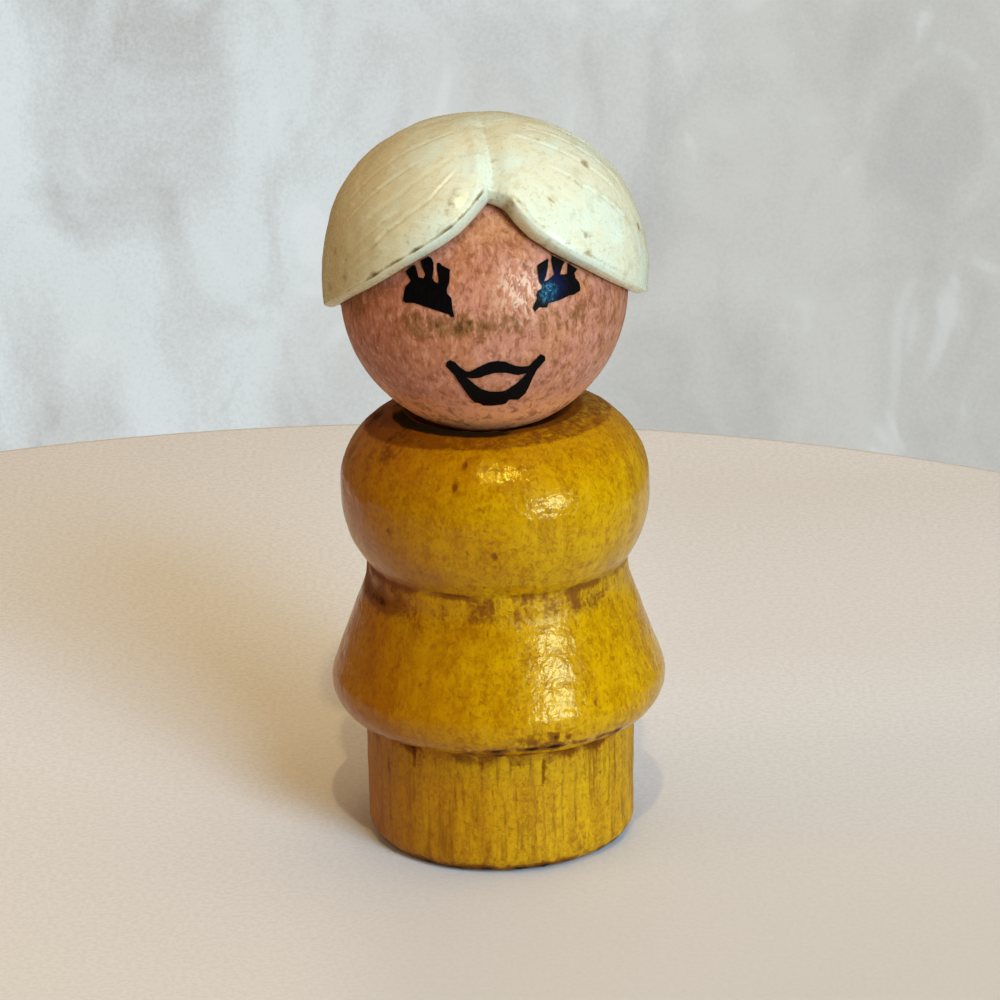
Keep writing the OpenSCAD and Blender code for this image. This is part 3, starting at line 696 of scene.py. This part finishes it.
stage = {
    "tableR": 118, "tableRings": (60, 20, 0.5), "tableCentre": (-13, -10, 0), "tableEdge": 3, "tableThick": 6,
    # the table's near and far colours and its two patches are painted light and shade; the cloth's fold and
    # ridge colours are painted shade and painted highlights
    "colors": {"near": "d0ccc5", "far": "f4f7fa", "paintedLightFrontLeft": "eee9e1", "paintedShadeFarRight": "cdc6bc",
               "speck": "c8c3bd", "wallLeft": "d7dfe1", "wallRight": "c8c9c4", "paintedFoldShade": "b6b7b4",
               "paintedRidgeHighlight": "e6ebec", "ambient": "ffdcae"},
    "shot": {"place": (0, -377.2, 163.0), "aim": (0.36, -0.38, 28.93), "lens": 175.35, "roll": 0.020,
             "sensor": 36, "clip": 0.01},
    "lamps": {"window": (41, 10, 600, (205, 135), 2.35, "d8edff", "all"),
              "pane": (41, 10, 610, (205, 135), 0.62, "fbff9c", "gloss"),
              "bulb": (2, 56.8, 600, (13, 13), 0.68, "ffe4a0", "matt"),
              "glint": (15, 60, 600, (48, 36), 1.3, "fff070", "gloss"),
              "side": (27, 36, 600, (180, 180), 2.3, "b8dcff", "matt"),
              "fill": (-72, 30, 650, (350, 350), 0.62, "ffd09c", "matt"),
              "ceiling": (120, 80, 650, (500, 500), 1.45, "ffe2bc", "matt")},
    "lampAim": 30, "ambient": 0.22,
}


def buildTable():
    edge, thick, size = stage["tableEdge"], stage["tableThick"], stage["tableR"]
    rim = [(size - edge + edge * math.cos(a), -edge + edge * math.sin(a))
           for a in np.linspace(-math.pi / 2, math.pi / 2, 9)]
    inner = [(ring, 0) for ring in stage["tableRings"]]
    outline = np.array([(inner[-1][0], -thick)] + rim + inner, float)
    rings, _ = spun(outline, 240, stage["tableCentre"])
    table = ringMesh("tableTop", rings)
    g, join = newFinish("tablePaint", {"Specular IOR Level": 0.3})
    p, hue = g.place(), palette(stage["colors"])
    speck = g.grain(p, 2.2, 3, 0.7)
    x, y = g.part(p, 0), g.part(p, 1)
    # painted light: the far side lighter and the near side darker, evening out the lamps' fall-off
    away = y - x * 0.15
    # a painted pool of light at the front left
    paintedLightFrontLeft = g.step(x, -4, -20) * g.step(y, 36, 2)
    # a painted patch of shade at the far right
    paintedShadeFarRight = g.step(x, 2, 22) * g.step(y, 22, 42) * g.step(y, 98, 80)
    color = g.mix(g.step(away, -50, 70), hue["near"], hue["far"])
    color = g.mix(paintedLightFrontLeft * 0.5, color, hue["paintedLightFrontLeft"])
    color = g.mix(paintedShadeFarRight * 0.25, color, hue["paintedShadeFarRight"])
    color = g.mix(g.step(speck, 0.4, 0.62) * 0.3, color, hue["speck"])
    giveFinish(table, join(color, 0.5 + speck * 0.1))


def buildSurroundings():  # an even warm light for the doll; for the camera, a pale draped cloth with painted shade in its folds and painted highlights on its ridges
    world = bpy.data.worlds.new("surroundings")
    bpy.context.scene.world = world
    world.use_nodes = True
    g, hue = Graph(world.node_tree), palette(stage["colors"])
    way = g.node("ShaderNodeTexCoord", out=0)
    folds = g.grain(g.stretch(way, (2.4, 2.4, 1.4)), 5.0, 2, 0.5, 0.6)
    creases = g.grain(g.stretch(way, (3.2, 3.2, 1.4)), 7.0, 2, 0.4, 0.8)
    wrinkles = g.grain(g.stretch(way, (2.6, 2.6, 1.7)), 21.0, 2, 0.5, 1.2)
    weave = g.grain(way, 1300.0, 2, 0.6)
    side = g.part(way, 0) + (folds - 0.5) * 0.3
    seen = g.mix(g.step(side, -0.08, 0.07), hue["wallLeft"], hue["wallRight"])
    # painted shade in the creases and wrinkles, painted highlights on the ridges
    shade = g.step(creases, 0.46, 0.68) * 0.45 + g.step(wrinkles, 0.44, 0.7) * 0.35 + (weave - 0.5) * 0.9
    seen = g.mix(shade, seen, hue["paintedFoldShade"])
    seen = g.mix(g.step(wrinkles, 0.44, 0.3) * 0.3, seen, hue["paintedRidgeHighlight"])
    light = g.node("ShaderNodeBackground", None, {"Color": hue["ambient"], "Strength": stage["ambient"]})
    shown = g.node("ShaderNodeBackground", None, {"Color": seen, "Strength": 1.0})
    ray = g.node("ShaderNodeLightPath", out=0)
    both = g.node("ShaderNodeMixShader", None, {0: ray, 1: light, 2: shown})
    g.tree.links.new(both.out, g.tree.nodes["World Output"].inputs[0])


def hangLamps():
    for name, (az, el, away, size, power, color, shown) in stage["lamps"].items():
        lamp = bpy.data.lights.new(name, "AREA")
        lamp.shape, lamp.size, lamp.size_y = "RECTANGLE", size[0] * mm, size[1] * mm
        lamp.energy, lamp.color = power, tone(color)[:3]
        holder = bpy.data.objects.new(name, lamp)
        bpy.context.scene.collection.objects.link(holder)
        holder.visible_glossy = shown != "matt"
        holder.visible_diffuse = shown != "gloss"
        a, e = math.radians(az), math.radians(el)
        back = Vector((math.sin(a) * math.cos(e), -math.cos(a) * math.cos(e), math.sin(e)))
        holder.location = Vector((0, 0, stage["lampAim"] * mm)) + back * away * mm
        holder.rotation_euler = back.to_track_quat("Z", "Y").to_euler()


def addCamera():
    shot = stage["shot"]
    place, aim = Vector(shot["place"]) * mm, Vector(shot["aim"]) * mm
    ahead = (aim - place).normalized()
    right = ahead.cross(Vector((0, 0, 1))).normalized()
    up = right.cross(ahead)
    c, s = math.cos(shot["roll"]), math.sin(shot["roll"])
    turned = Matrix((right * c - up * s, up * c + right * s, -ahead)).transposed().to_4x4()
    turned.translation = place
    camera = bpy.data.cameras.new("photoCamera")
    camera.lens, camera.sensor_width, camera.clip_start = shot["lens"], shot["sensor"], shot["clip"]
    holder = bpy.data.objects.new("photoCamera", camera)
    bpy.context.scene.collection.objects.link(holder)
    holder.matrix_world = turned
    bpy.context.scene.camera = holder


addCamera()
buildTable()
buildSurroundings()
hangLamps()
print("stage ready")
finish(buildBody(), "turned_body", "body", yellowLacquer())
print("body turned")
finish(buildBall(), "head_ball", "head", fleshPaint())
print("head ball done")
finish(buildHair(), "hair_cap", "head", hairPlastic())
print("hair cap done")
plainInk, rubbedInk = blackInk(False), blackInk(True)
giveFinish(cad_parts["left_eye_print"], plainInk)
giveFinish(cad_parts["mouth_print"], plainInk)
giveFinish(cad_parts["right_eye_print"], rubbedInk)
giveFinish(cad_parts["neck_pin"], pinSteel())
print("prints and pin finished")

bpy.context.scene.view_settings.view_transform = "Standard"
